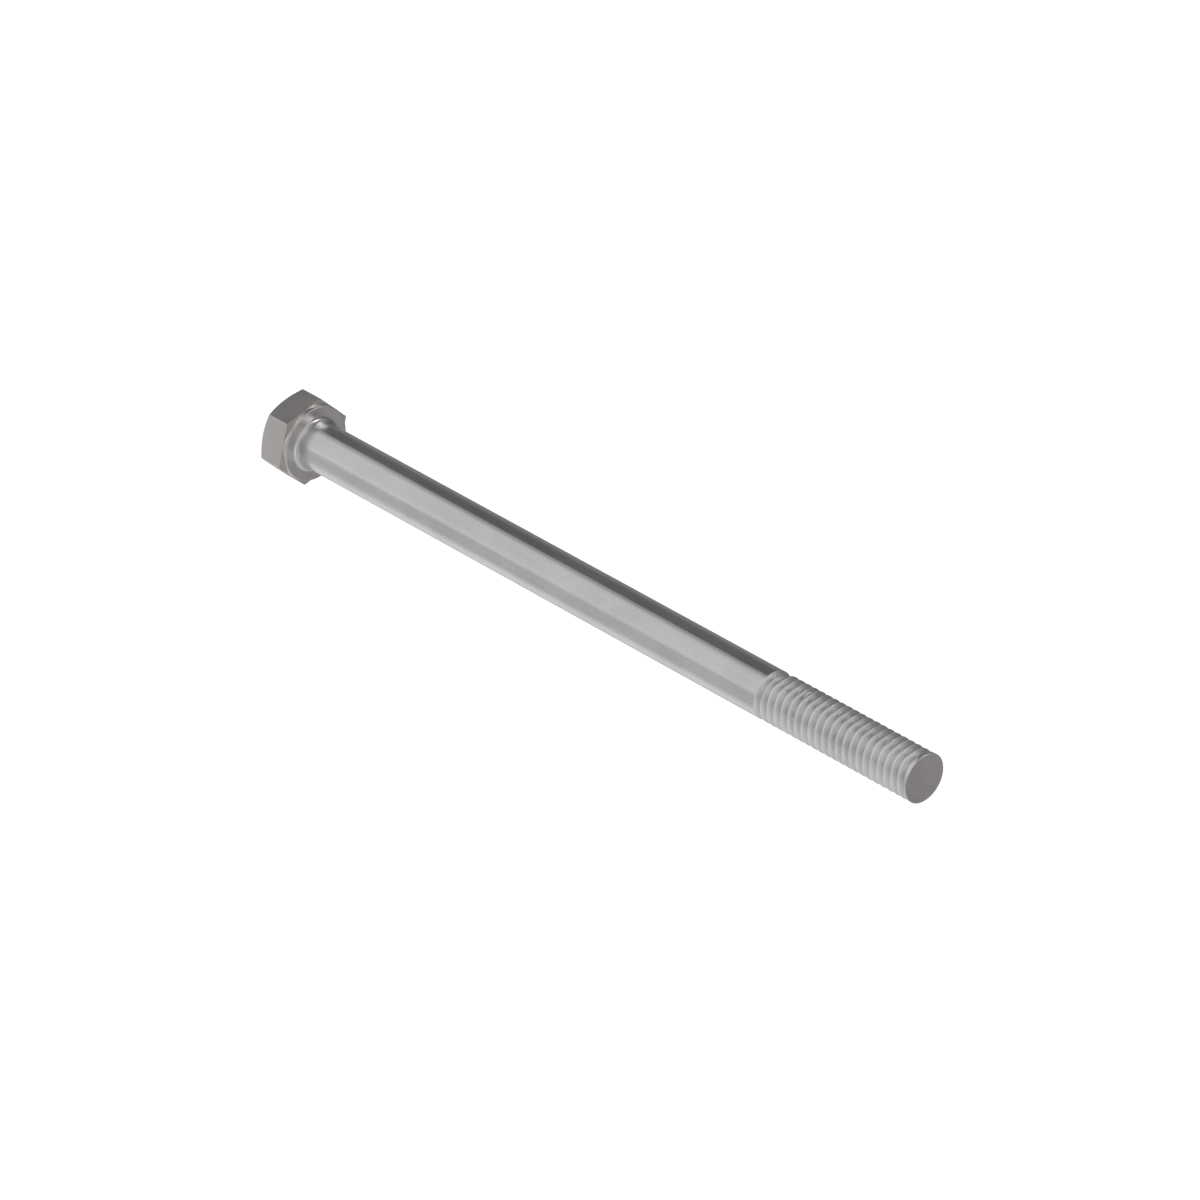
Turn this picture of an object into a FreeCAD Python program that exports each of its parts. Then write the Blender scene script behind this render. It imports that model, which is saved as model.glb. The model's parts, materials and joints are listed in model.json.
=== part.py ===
"""Long hex bolt, 5/16-18 UNC x 5-1/4 in, with a raised washer face and a plain square-cut point.

The bolt is one forging. It is written as six solids that meet face to face along its axis, one for each
region with a job of its own: hex_head, washer_face, underhead_fillet, shank, thread and point.

The axis is +X, from the head to the point. The origin is the centre of the bearing face under the head.
Two wrench flats are square to Z, so two corners of the hexagon point along Y. Lengths are in millimetres.
"""

import FreeCAD, Part
import math
import os

V = FreeCAD.Vector
ORIGIN = V(0, 0, 0)
AXIS = V(1, 0, 0)

# --- driving dimensions ---------------------------------------------------------------------------
INCH = 25.4
NOMINAL_DIAMETER = 5 / 16 * INCH
THREADS_PER_INCH = 18
LENGTH_UNDER_HEAD = 5.25 * INCH
THREAD_LENGTH = 1.23 * INCH  # relief groove, thread and point together
ACROSS_FLATS = 1 / 2 * INCH
HEXAGON_HEIGHT = 13 / 64 * INCH
WASHER_FACE_HEIGHT = 1 / 32 * INCH
WASHER_FACE_INSET = 0.02  # rim of the washer face, in from the wrench flats
WASHER_RIM_ROUND = 0.18  # rounding of the rim where it meets the bearing face
TOP_CHAMFER_SLOPE = 30.0  # degrees, crown of the head against its flat top
TOP_CIRCLE_SHARE = 0.915  # flat left on top of the head, as a share of the width across flats
FILLET_RADIUS = 0.7  # where the shank meets the bearing face
POINT_LAND = 0.25  # solid end left past the last groove
POINT_EDGE_BREAK = 0.06  # burr taken off the cut end
EDGE_ROUND = 0.12  # worn-in rounding of the head's edges
FADE_START_ANGLE = 175.0  # degrees from +Y toward +Z, where the groove begins to fade out by the point
FADE_SWEEP = 100.0  # degrees of turn over which it fades

# --- sizes that follow ----------------------------------------------------------------------------
SHANK_RADIUS = NOMINAL_DIAMETER / 2
FLAT_RADIUS = ACROSS_FLATS / 2
CORNER_RADIUS = FLAT_RADIUS / math.cos(math.pi / 6)
HEAD_HEIGHT = HEXAGON_HEIGHT + WASHER_FACE_HEIGHT  # from the bearing face to the top of the head
TOP_CIRCLE_RADIUS = TOP_CIRCLE_SHARE * FLAT_RADIUS
WASHER_RADIUS = FLAT_RADIUS - WASHER_FACE_INSET
FILLET_FOOT_RADIUS = SHANK_RADIUS + FILLET_RADIUS
THREAD_START = LENGTH_UNDER_HEAD - THREAD_LENGTH
POINT_START = LENGTH_UNDER_HEAD - POINT_LAND

# Unified thread form: 60 degree groove, an eighth of a pitch flat at the crest, rounded root
PITCH = INCH / THREADS_PER_INCH
HALF_ANGLE = math.pi / 6
GROOVE_DEPTH = 0.61343 * PITCH
GROOVE_WIDTH = 7 / 8 * PITCH
ROOT_RADIUS = 0.14434 * PITCH
CUTTER_STANDOFF = 0.06 * PITCH  # how far a cutter stands proud of the crest
RELIEF_CLEARANCE = 0.04 * PITCH  # relief groove beyond the thread groove, on its floor and flanks
RELIEF_WIDTH = GROOVE_WIDTH + 2 * RELIEF_CLEARANCE  # with a hair of land at each side


def revolved(corners):
    """Solid of revolution about the axis from (x, radius) corners."""
    outline = Part.makePolygon([V(x, 0, r) for x, r in corners + corners[:1]])
    return Part.Face(outline).revolve(ORIGIN, AXIS, 360)


def cylinder(radius, start, end):
    """Solid cylinder on the axis between two stations."""
    return Part.makeCylinder(radius, end - start, V(start, 0, 0), AXIS)


def hex_head():
    """Hexagonal prism, crowned at its far end by a cone that leaves an arc on each wrench flat.

    Its edges are softened, except those round the underside that carries the washer face.
    """
    corners = [
        V(-HEAD_HEIGHT, CORNER_RADIUS * math.cos(a), CORNER_RADIUS * math.sin(a))
        for a in (math.pi / 3 * k for k in range(7))
    ]
    prism = Part.Face(Part.makePolygon(corners)).extrude(AXIS * HEXAGON_HEIGHT)
    wide = 1.1 * CORNER_RADIUS  # clear of the corners
    crown_drop = (wide - TOP_CIRCLE_RADIUS) * math.tan(math.radians(TOP_CHAMFER_SLOPE))
    crown = revolved(
        [
            (-HEAD_HEIGHT, 0),
            (-HEAD_HEIGHT, TOP_CIRCLE_RADIUS),
            (-HEAD_HEIGHT + crown_drop, wide),
            (-WASHER_FACE_HEIGHT, wide),
            (-WASHER_FACE_HEIGHT, 0),
        ]
    )
    head = prism.common(crown)
    upper_edges = [edge for edge in head.Edges if edge.BoundBox.XMin < -WASHER_FACE_HEIGHT - EDGE_ROUND]
    return head.makeFillet(EDGE_ROUND, upper_edges)


def quarter_arc(start, end, centre):
    """Quarter circle in the XZ plane between two (x, radius) points about a third."""
    radius = math.dist(start, centre)
    middle_x = start[0] + end[0] - 2 * centre[0]
    middle_r = start[1] + end[1] - 2 * centre[1]
    scale = radius / math.hypot(middle_x, middle_r)
    middle = V(centre[0] + scale * middle_x, 0, centre[1] + scale * middle_r)
    return Part.Arc(V(start[0], 0, start[1]), middle, V(end[0], 0, end[1])).toShape()


def revolved_with_arc(arc, corners):
    """Solid of revolution bounded by an arc and the (x, radius) corners from its end back to its start."""
    rest = Part.makePolygon([V(x, 0, r) for x, r in corners])
    return Part.Face(Part.Wire([arc] + rest.Edges)).revolve(ORIGIN, AXIS, 360)


def washer_face():
    """Raised ring under the hexagon. Its flat is the face that bears on the work."""
    rim_start = (-WASHER_RIM_ROUND, WASHER_RADIUS)
    rim_end = (0, WASHER_RADIUS - WASHER_RIM_ROUND)
    rim = quarter_arc(rim_start, rim_end, (-WASHER_RIM_ROUND, WASHER_RADIUS - WASHER_RIM_ROUND))
    rest = [
        rim_end,
        (0, FILLET_FOOT_RADIUS),
        (-WASHER_FACE_HEIGHT, FILLET_FOOT_RADIUS),
        (-WASHER_FACE_HEIGHT, WASHER_RADIUS),
        rim_start,
    ]
    return revolved_with_arc(rim, rest)


def underhead_fillet():
    """Neck from the hexagon through the washer face, flared by the fillet that leads into the shank."""
    flare_start = (0, FILLET_FOOT_RADIUS)
    flare_end = (FILLET_RADIUS, SHANK_RADIUS)
    flare = quarter_arc(flare_start, flare_end, (FILLET_RADIUS, FILLET_FOOT_RADIUS))
    rest = [
        flare_end,
        (FILLET_RADIUS, 0),
        (-WASHER_FACE_HEIGHT, 0),
        (-WASHER_FACE_HEIGHT, FILLET_FOOT_RADIUS),
        flare_start,
    ]
    return revolved_with_arc(flare, rest)


def shank():
    """Plain body from the fillet to the first thread."""
    return cylinder(SHANK_RADIUS, FILLET_RADIUS, THREAD_START)


def groove_section(clearance=0):
    """Cross-section of the thread groove in the XZ plane, centred on height 0.

    The clearance makes it larger all round.
    """
    floor_r = SHANK_RADIUS - GROOVE_DEPTH - clearance
    arc_centre_r = floor_r + ROOT_RADIUS
    tangent_r = arc_centre_r - ROOT_RADIUS * math.sin(HALF_ANGLE)
    tangent_z = ROOT_RADIUS * math.cos(HALF_ANGLE)
    outer_r = SHANK_RADIUS + CUTTER_STANDOFF
    outer_z = tangent_z + (outer_r - tangent_r) * math.tan(HALF_ANGLE)
    floor = Part.Arc(V(tangent_r, 0, -tangent_z), V(floor_r, 0, 0), V(tangent_r, 0, tangent_z)).toShape()
    flanks = Part.makePolygon(
        [
            V(tangent_r, 0, tangent_z),
            V(outer_r, 0, outer_z),
            V(outer_r, 0, -outer_z),
            V(tangent_r, 0, -tangent_z),
        ]
    )
    return Part.Wire([floor] + flanks.Edges)


def helical_groove(height, cone_angle=0):
    """Right-hand groove cutter that rises from height 0 and widens with the cone angle."""
    path = Part.makeHelix(PITCH, height, SHANK_RADIUS - GROOVE_DEPTH, cone_angle)
    return Part.Wire(path.Edges).makePipeShell([groove_section()], True, True)


def thread():
    """Threaded length: a relief groove next to the shank, then a right-hand helical groove on to the point.

    It is cut standing on Z with the point end at the bottom, then laid along the axis. The groove climbs
    out of the metal just before it would break through the point.
    """
    axis = V(0, 0, 1)
    length = POINT_START - THREAD_START
    relief_height = length - RELIEF_WIDTH / 2
    fade_height = GROOVE_WIDTH / 2 + RELIEF_CLEARANCE
    relief = Part.Face(groove_section(RELIEF_CLEARANCE)).revolve(ORIGIN, axis, 360)
    relief.translate(axis * relief_height)

    fade_fall = PITCH * FADE_SWEEP / 360
    fade_rise = GROOVE_DEPTH + 2 * CUTTER_STANDOFF
    fade = helical_groove(fade_fall, math.degrees(math.atan2(fade_rise, fade_fall)))
    fade.rotate(ORIGIN, V(1, 0, 0), 180)
    groove = helical_groove(relief_height - fade_height)

    body = Part.makeCylinder(SHANK_RADIUS, length).cut(relief)
    for cutter in (groove, fade):
        cutter.rotate(ORIGIN, axis, 90 - FADE_START_ANGLE)
        cutter.translate(axis * fade_height)
        body = body.cut(cutter)
    body.rotate(ORIGIN, V(0, 1, 0), -90)
    body.translate(V(POINT_START, 0, 0))
    return body


def point():
    """Square-cut end of the bolt, full width, with the burr taken off its edge."""
    return revolved(
        [
            (POINT_START, 0),
            (POINT_START, SHANK_RADIUS),
            (LENGTH_UNDER_HEAD - POINT_EDGE_BREAK, SHANK_RADIUS),
            (LENGTH_UNDER_HEAD, SHANK_RADIUS - POINT_EDGE_BREAK),
            (LENGTH_UNDER_HEAD, 0),
        ]
    )


def main():
    os.makedirs("parts", exist_ok=True)
    for build in (hex_head, washer_face, underhead_fillet, shank, thread, point):
        solid = build()
        if not solid.isValid() or len(solid.Solids) != 1:
            raise RuntimeError(build.__name__ + " is not one valid solid")
        solid.Solids[0].exportStep("parts/" + build.__name__ + ".step")


main()
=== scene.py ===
"""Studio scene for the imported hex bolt: plain steel on a white floor, seen along a long lens."""

import json
import math

import bpy
from mathutils import Matrix, Vector


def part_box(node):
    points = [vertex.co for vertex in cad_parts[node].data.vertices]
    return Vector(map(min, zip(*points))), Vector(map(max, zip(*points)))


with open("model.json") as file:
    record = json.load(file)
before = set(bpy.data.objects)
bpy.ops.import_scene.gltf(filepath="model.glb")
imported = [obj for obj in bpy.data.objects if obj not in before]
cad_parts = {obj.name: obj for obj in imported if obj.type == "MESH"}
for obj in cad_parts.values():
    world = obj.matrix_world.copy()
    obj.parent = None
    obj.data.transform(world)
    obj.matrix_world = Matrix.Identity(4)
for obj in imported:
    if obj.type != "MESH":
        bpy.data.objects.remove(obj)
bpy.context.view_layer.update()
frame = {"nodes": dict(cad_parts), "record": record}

MM = 0.001

# --- sizes read from the frame ----------------------------------------------------------------------
FLAT_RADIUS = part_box("hex_head")[1].z
SHANK_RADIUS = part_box("shank")[1].z
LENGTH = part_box("point")[1].x

# --- camera: azimuth, elevation and roll are the photograph's viewing angle -------------------------
VIEW_AZIMUTH = 55.26
VIEW_ELEVATION = 40.83
VIEW_ROLL = -14.49
VIEW_DISTANCE = 1.0005
AIM = Vector((0.48736 * LENGTH, 0, 0))
LENS = 198.85
SENSOR = 36.0
CLIP_END = 10.0

# --- light: a dim grey room with soft boxes ---------------------------------------------------------
# At the photograph's angle the shank and the wrench flats mirror the overhead box, the first three table
# boxes and the dim room between them. The bearing face and the cut end mirror the other two table boxes.
# The fills reach into the fillet and the thread. The ceiling and the back wall light the sides that the
# photograph doesn't show. The rims put the glints under the head.
#
# Each soft box: direction toward it, angle out to which it is even, angle where it has faded, radiance.
ROOM_RADIANCE = 0.132
SOFT_BOXES = {
    "overhead": ((-0.62, -0.33, 0.71), 29, 42, 0.54),
    "table_left": ((-0.62, -0.62, -0.48), 34, 56, 0.39),
    "table_far": ((-0.62, 0.07, -0.78), 25, 50, 0.27),
    "table_back": ((-0.62, 0.73, -0.28), 10, 28, 0.10),
    "table_near": ((0.58, -0.24, -0.78), 22, 45, 0.42),
    "table_right": ((0.60, 0.44, -0.67), 20, 38, 0.065),
    "front_fill": ((0.99, -0.10, 0.10), 25, 48, 0.46),
    "high_fill": ((0.40, -0.48, 0.78), 18, 42, 0.30),
    "low_fill": ((0.22, -0.92, -0.10), 18, 42, 0.30),
    "ceiling": ((0.30, 0.15, 0.94), 18, 38, 0.24),
    "back_wall": ((0.15, 0.92, 0.36), 14, 36, 0.17),
    "rim_middle": ((0.78, 0.50, 0.38), 5, 12, 0.5),
    "rim_side": ((0.60, 0.70, 0.38), 5, 13, 2.9),
}

# --- floor ------------------------------------------------------------------------------------------
FLOOR_REACH = 3.0  # from the middle to each side
FLOOR_WHITE = 0.9
FLOOR_GLOW = 0.85

# --- steel ------------------------------------------------------------------------------------------
WARM_STEEL = (0.704, 0.676, 0.664)
PLAIN_STEEL = (0.720, 0.720, 0.720)
# Painted light: the thread's steel is lighter than the shank's, which lifts the shade in its grooves
PAINTED_LIGHT_THREAD_STEEL = (0.840, 0.840, 0.840)

CLOUD_SIZE = 7 * MM
GRAIN_SIZE = 0.16 * MM
WEAR_SIZE = 0.8 * MM  # patches in which an edge is more or less worn
EDGE_WIDTH = 0.10 * MM
EDGE_SAMPLES = 4

# Values of each pattern that count as its low and its high
CLOUD_SPAN = (0.3, 0.7)
MARK_SPAN = (0.2, 0.8)
GRAIN_SPAN = (0.25, 0.75)
WEAR_SPAN = (0.35, 0.6)
EDGE_SPAN = (0.995, 0.90)  # cosine between the rounded normal and the true one

# What each pattern multiplies the colour and the roughness by, at its low and at its high
CLOUD_SHADE = (0.955, 1.03)
MARK_SHADE = (0.965, 1.03)
GRAIN_SHADE = (0.93, 1.06)
WORN_SHADE = (1, 1.28)
GRAIN_ROUGHNESS = (0.90, 1.12)
CLOUD_ROUGHNESS = (0.94, 1.07)
WORN_ROUGHNESS = (1, 0.8)
LEAST_WEAR = 0.35

# Rings of the faced and the cut surfaces
RING_SPACING = 0.22 * MM
RING_WANDER = 0.12 * MM  # how far a ring strays from a true circle
WANDER_SIZE = 1.5 * MM
RING_RANGE = (0.3, 0.7)
BREAK_SIZE = 0.6 * MM  # stretches in which a ring is stronger or fainter
BREAK_SPAN = (0.3, 0.7)
BREAK_STRENGTH = (0.75, 1.25)


def camera_axes(azimuth, elevation, roll):
    """Right, up and back vectors of a camera; azimuth 0 looks along +Y and roll turns it about back."""
    a = math.radians(azimuth)
    e = math.radians(elevation)
    r = math.radians(roll)
    back = Vector((math.sin(a) * math.cos(e), -math.cos(a) * math.cos(e), math.sin(e)))
    level = Vector((math.cos(a), math.sin(a), 0))
    right = level * math.cos(r) + back.cross(level) * math.sin(r)
    return right, back.cross(right), back


def add_camera():
    right, up, back = camera_axes(VIEW_AZIMUTH, VIEW_ELEVATION, VIEW_ROLL)
    data = bpy.data.cameras.new("camera")
    data.lens = LENS
    data.sensor_width = SENSOR
    data.clip_end = CLIP_END
    camera = bpy.data.objects.new("camera", data)
    bpy.context.scene.collection.objects.link(camera)
    turn = Matrix((right, up, back)).transposed().to_4x4()
    camera.matrix_world = Matrix.Translation(AIM + back * VIEW_DISTANCE) @ turn
    bpy.context.scene.camera = camera


class Tree:
    """Short calls for building one node tree."""

    def __init__(self, tree):
        self.nodes = tree.nodes
        self.links = tree.links

    def put(self, socket, value):
        """Link an output to the socket, or set the socket to a plain value."""
        if isinstance(value, bpy.types.NodeSocket):
            self.links.new(value, socket)
        else:
            socket.default_value = value

    def math(self, operation, *values):
        node = self.nodes.new("ShaderNodeMath")
        node.operation = operation
        for socket, value in zip(node.inputs, values):
            self.put(socket, value)
        return node.outputs[0]

    def product(self, first, *others):
        for factor in others:
            first = self.math("MULTIPLY", first, factor)
        return first

    def vector(self, operation, *values):
        node = self.nodes.new("ShaderNodeVectorMath")
        node.operation = operation
        for socket, value in zip(node.inputs, values):
            self.put(socket, value)
        return node.outputs["Value" if operation in ("DOT_PRODUCT", "LENGTH") else "Vector"]

    def scaled(self, vector, scale):
        """Fixed vector times a value that varies."""
        node = self.nodes.new("ShaderNodeVectorMath")
        node.operation = "SCALE"
        node.inputs[0].default_value = vector
        self.put(node.inputs["Scale"], scale)
        return node.outputs["Vector"]

    def remap(self, value, low, high, out_low, out_high):
        """Ease from out_low at low to out_high at high, and stay level beyond them."""
        node = self.nodes.new("ShaderNodeMapRange")
        node.interpolation_type = "SMOOTHSTEP"
        for name, number in zip(("From Min", "From Max", "To Min", "To Max"), (low, high, out_low, out_high)):
            node.inputs[name].default_value = number
        self.put(node.inputs["Value"], value)
        return node.outputs["Result"]

    def noise(self, coordinates, feature, detail=3.0, roughness=0.5):
        """Noise from 0 to 1 whose main feature is this many units of the coordinates across."""
        node = self.nodes.new("ShaderNodeTexNoise")
        node.inputs["Scale"].default_value = 1 / feature
        node.inputs["Detail"].default_value = detail
        node.inputs["Roughness"].default_value = roughness
        self.put(node.inputs["Vector"], coordinates)
        return node.outputs[0]

    def stretched_noise(self, coordinates, along, across, detail, roughness):
        """Noise whose features are this long along X and this wide across it."""
        squeezed = self.vector("MULTIPLY", coordinates, (1 / along, 1 / across, 1 / across))
        return self.noise(squeezed, 1.0, detail, roughness)

    def bump(self, height, depth, normal=None):
        """Bump of the given depth in metres, on top of an earlier one where there is one."""
        node = self.nodes.new("ShaderNodeBump")
        node.inputs["Strength"].default_value = 1.0
        node.inputs["Distance"].default_value = depth
        self.put(node.inputs["Height"], height)
        if normal is not None:
            self.put(node.inputs["Normal"], normal)
        return node.outputs["Normal"]


def add_world():
    """Dim room plus the soft boxes, each an even disc of light with a soft rim."""
    world = bpy.data.worlds.new("studio")
    world.use_nodes = True
    tree = Tree(world.node_tree)
    direction = tree.nodes.new("ShaderNodeTexCoord").outputs["Generated"]
    direction = tree.vector("NORMALIZE", direction)
    total = ROOM_RADIANCE
    for centre, even, faded, radiance in SOFT_BOXES.values():
        toward = tree.vector("DOT_PRODUCT", direction, Vector(centre).normalized())
        edge = math.cos(math.radians(faded))
        core = math.cos(math.radians(even))
        total = tree.math("ADD", tree.remap(toward, edge, core, 0, radiance), total)
    tree.put(tree.nodes["Background"].inputs["Color"], total)
    bpy.context.scene.world = world


def add_floor():
    """White lit floor under the bolt, which lies on the lower edge of its head and on its point."""
    slope = (SHANK_RADIUS - FLAT_RADIUS) / LENGTH
    outline = [(x * FLOOR_REACH, y * FLOOR_REACH) for x, y in ((-1, -1), (1, -1), (1, 1), (-1, 1))]
    mesh = bpy.data.meshes.new("floor")
    mesh.from_pydata([(x, y, -FLAT_RADIUS - slope * x) for x, y in outline], [], [(0, 1, 2, 3)])
    floor = bpy.data.objects.new("floor", mesh)
    bpy.context.scene.collection.objects.link(floor)
    floor.visible_glossy = False  # the steel mirrors the table boxes instead

    material = bpy.data.materials.new("white_floor")
    material.use_nodes = True
    shader = material.node_tree.nodes["Principled BSDF"]
    shader.inputs["Base Color"].default_value = (FLOOR_WHITE, FLOOR_WHITE, FLOOR_WHITE, 1)
    shader.inputs["Roughness"].default_value = 1.0
    shader.inputs["Specular IOR Level"].default_value = 0.0
    shader.inputs["Emission Color"].default_value = (1, 1, 1, 1)
    shader.inputs["Emission Strength"].default_value = FLOOR_GLOW
    mesh.materials.append(material)


def steel(name, tint, roughness, marks, mark_depth, grain_depth):
    """Bare satin steel.

    marks(tree, place) gives the tool marks of the surface, from 0 to 1, which vary colour and height.
    A fine grain varies colour, gloss and height, and broad clouds vary colour and gloss. Worn edges are
    brighter and glossier.
    """
    material = bpy.data.materials.new(name)
    material.use_nodes = True
    tree = Tree(material.node_tree)
    shader = tree.nodes["Principled BSDF"]
    place = tree.nodes.new("ShaderNodeTexCoord").outputs["Object"]
    cloud = tree.noise(place, CLOUD_SIZE, detail=2.0)
    grain = tree.noise(place, GRAIN_SIZE, detail=4.0, roughness=0.7)
    lines = marks(tree, place)
    worn = edge_wear(tree, place)

    shade = tree.product(
        tree.remap(cloud, *CLOUD_SPAN, *CLOUD_SHADE),
        tree.remap(lines, *MARK_SPAN, *MARK_SHADE),
        tree.remap(grain, *GRAIN_SPAN, *GRAIN_SHADE),
        tree.remap(worn, 0, 1, *WORN_SHADE),
    )
    tree.put(shader.inputs["Base Color"], tree.scaled(tint, shade))

    rough = tree.product(
        roughness,
        tree.remap(grain, *GRAIN_SPAN, *GRAIN_ROUGHNESS),
        tree.remap(cloud, *CLOUD_SPAN, *CLOUD_ROUGHNESS),
        tree.remap(worn, 0, 1, *WORN_ROUGHNESS),
    )
    tree.put(shader.inputs["Roughness"], rough)
    shader.inputs["Metallic"].default_value = 1.0

    fine = tree.bump(grain, grain_depth)
    tree.put(shader.inputs["Normal"], tree.bump(lines, mark_depth, fine))
    return material


def edge_wear(tree, place):
    """From 0 on open faces to 1 where an edge is rubbed bright, broken up by noise."""
    rounded = tree.nodes.new("ShaderNodeBevel")
    rounded.samples = EDGE_SAMPLES
    rounded.inputs["Radius"].default_value = EDGE_WIDTH
    true_normal = tree.nodes.new("ShaderNodeNewGeometry").outputs["Normal"]
    agreement = tree.vector("DOT_PRODUCT", rounded.outputs["Normal"], true_normal)
    edge = tree.remap(agreement, *EDGE_SPAN, 0, 1)
    wear = tree.remap(tree.noise(place, WEAR_SIZE), *WEAR_SPAN, LEAST_WEAR, 1)
    return tree.product(edge, wear)


def forging_marks(tree, place):
    """Short shallow scuffs left by the die and by tumbling."""
    return tree.stretched_noise(place, along=0.9 * MM, across=0.35 * MM, detail=3.0, roughness=0.6)


def draw_marks(tree, place):
    """Long lines along the bolt, from drawing the wire."""
    return tree.stretched_noise(place, along=60 * MM, across=0.55 * MM, detail=2.0, roughness=0.5)


def thread_marks(tree, place):
    """Fine marks round the axis, from rolling the thread."""
    return tree.stretched_noise(place, along=0.14 * MM, across=2.5 * MM, detail=2.0, roughness=0.6)


def ring_marks(tree, place):
    """Fine rings round the axis that wander a little and are slightly broken."""
    radius = tree.vector("LENGTH", tree.vector("MULTIPLY", place, (0, 1, 1)))
    wander = tree.product(tree.noise(place, WANDER_SIZE), RING_WANDER)
    phase = tree.product(tree.math("ADD", radius, wander), math.tau / RING_SPACING)
    rings = tree.remap(tree.math("SINE", phase), -1, 1, *RING_RANGE)
    breaks = tree.remap(tree.noise(place, BREAK_SIZE), *BREAK_SPAN, *BREAK_STRENGTH)
    return tree.product(rings, breaks)


# Each finish: colour, roughness, tool marks, depth of the marks, depth of the grain
FINISHES = {
    "forged_head": (WARM_STEEL, 0.36, forging_marks, 0.003 * MM, 0.0016 * MM),
    "bearing_ring": (WARM_STEEL, 0.33, ring_marks, 0.002 * MM, 0.0020 * MM),
    "drawn_shank": (PLAIN_STEEL, 0.24, draw_marks, 0.004 * MM, 0.0006 * MM),
    # the thread's lighter colour is painted light for the shade in its grooves
    "rolled_thread": (PAINTED_LIGHT_THREAD_STEEL, 0.36, thread_marks, 0.002 * MM, 0.0008 * MM),
    "cut_point": (WARM_STEEL, 0.36, ring_marks, 0.001 * MM, 0.0012 * MM),
}


def add_materials():
    """Give each CAD node the finish that its record names."""
    finishes = {slot: steel(slot, *finish) for slot, finish in FINISHES.items()}
    finish_of = {row["node"]: row["material_slot"] for row in frame["record"]["subparts"]}
    for name, node in frame["nodes"].items():
        for slot in node.material_slots:
            slot.material = finishes[finish_of[name]]


add_camera()
add_world()
add_floor()
add_materials()
bpy.context.scene.view_settings.view_transform = "Standard"
